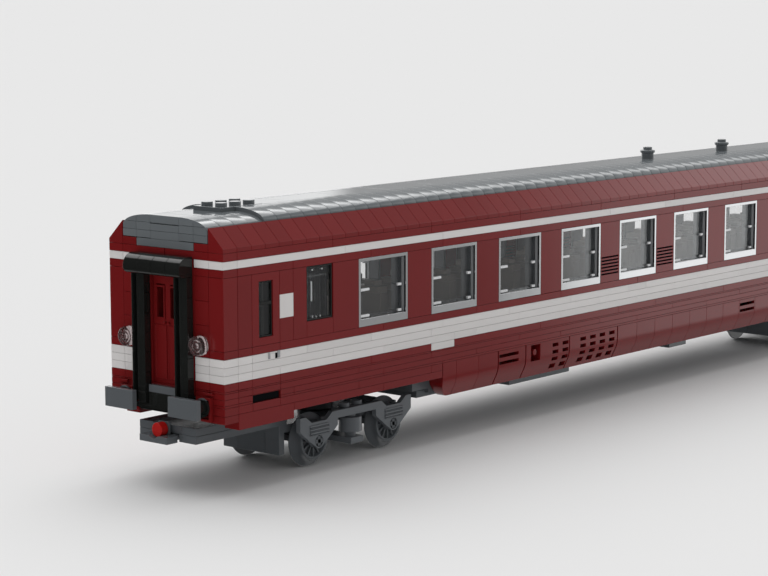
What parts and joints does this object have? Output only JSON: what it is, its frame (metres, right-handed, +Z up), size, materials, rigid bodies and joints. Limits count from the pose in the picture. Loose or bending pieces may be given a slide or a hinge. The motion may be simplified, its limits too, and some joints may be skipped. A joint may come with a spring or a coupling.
{
  "type": "toy passenger coach",
  "caption": "Long brick-built toy railway coach, dark red with white bands and a grey roof, on two swivelling four-wheel bogies with swinging magnet couplers",
  "frame": {"origin": "on the floor under the middle of the coach, which stands on its wheel flanges", "axes": "+X along the coach towards the far end, +Y across to the left-hand side, +Z up"},
  "size_m": [0.5948, 0.064, 0.1164],
  "materials": {
    "dark_red": "moulded, glossy dark red",
    "white": "moulded, glossy white",
    "dark_grey": "moulded dark bluish grey",
    "roof_grey": "moulded dark bluish grey, lighter from above",
    "black": "moulded, glossy black",
    "silver": "moulded, silver white",
    "clear": "moulded, clear",
    "seat_grey": "moulded, brownish grey",
    "red": "moulded red case of a magnet"
  },
  "bodies": {
    "coach_body": {"lower_wall_left": "dark_red", "band_low_left": "white", "window_wall_left": "dark_red", "band_high_left": "white", "roof_side_left": "dark_red", "window_left_1": "silver", "window_left_2": "silver", "window_left_3": "silver", "window_left_4": "silver", "window_left_5": "silver", "window_left_6": "silver", "window_left_7": "silver", "window_left_8": "silver", "window_left_9": "silver", "glazing_left": "clear", "skirt_left": "dark_red", "lower_wall_right": "dark_red", "band_low_right": "white", "window_wall_right": "dark_red", "band_high_right": "white", "roof_side_right": "dark_red", "window_right_1": "silver", "window_right_2": "silver", "window_right_3": "silver", "window_right_4": "silver", "window_right_5": "silver", "window_right_6": "silver", "window_right_7": "silver", "window_right_8": "silver", "window_right_9": "silver", "glazing_right": "clear", "skirt_right": "dark_red", "underframe": "dark_grey", "underfloor": "dark_grey", "roof": "roof_grey", "seats": "seat_grey", "gangway_near": "black", "end_door_near": "dark_red", "end_sill_near": "dark_grey", "lamp_near_left": "clear", "lamp_near_right": "clear", "gangway_far": "black", "end_door_far": "dark_red", "end_sill_far": "dark_grey", "lamp_far_left": "clear", "lamp_far_right": "clear"},
    "bogie_near": {"bogie_plate_near": "dark_grey", "side_frame_near_left": "dark_grey", "side_frame_near_right": "dark_grey"},
    "wheelset_near_outer": {"wheelset_near_outer": "dark_grey"},
    "wheelset_near_inner": {"wheelset_near_inner": "dark_grey"},
    "coupler_near": {"coupler_near": "dark_grey", "magnet_near": "red"},
    "bogie_far": {"bogie_plate_far": "dark_grey", "side_frame_far_left": "dark_grey", "side_frame_far_right": "dark_grey"},
    "wheelset_far_outer": {"wheelset_far_outer": "dark_grey"},
    "wheelset_far_inner": {"wheelset_far_inner": "dark_grey"},
    "coupler_far": {"coupler_far": "dark_grey", "magnet_far": "red"}
  },
  "joints": [
    {"name": "bogie_near_swivel", "type": "hinge", "parent": "coach_body", "child": "bogie_near", "pos_m": [-0.2, 0, 0.0191], "axis": [0, 0, 1], "range_deg": [-15, 15]},
    {"name": "wheelset_near_outer_spin", "type": "hinge", "parent": "bogie_near", "child": "wheelset_near_outer", "pos_m": [-0.224, 0, 0.0114], "axis": [0, 1, 0], "continuous": true},
    {"name": "wheelset_near_inner_spin", "type": "hinge", "parent": "bogie_near", "child": "wheelset_near_inner", "pos_m": [-0.176, 0, 0.0114], "axis": [0, 1, 0], "continuous": true},
    {"name": "coupler_near_swing", "type": "hinge", "parent": "bogie_near", "child": "coupler_near", "pos_m": [-0.283, 0, 0.0206], "axis": [0, 0, 1], "range_deg": [-12, 12]},
    {"name": "bogie_far_swivel", "type": "hinge", "parent": "coach_body", "child": "bogie_far", "pos_m": [0.2, 0, 0.0191], "axis": [0, 0, 1], "range_deg": [-15, 15]},
    {"name": "wheelset_far_outer_spin", "type": "hinge", "parent": "bogie_far", "child": "wheelset_far_outer", "pos_m": [0.224, 0, 0.0114], "axis": [0, 1, 0], "continuous": true},
    {"name": "wheelset_far_inner_spin", "type": "hinge", "parent": "bogie_far", "child": "wheelset_far_inner", "pos_m": [0.176, 0, 0.0114], "axis": [0, 1, 0], "continuous": true},
    {"name": "coupler_far_swing", "type": "hinge", "parent": "bogie_far", "child": "coupler_far", "pos_m": [0.283, 0, 0.0206], "axis": [0, 0, 1], "range_deg": [-12, 12]}
  ]
}
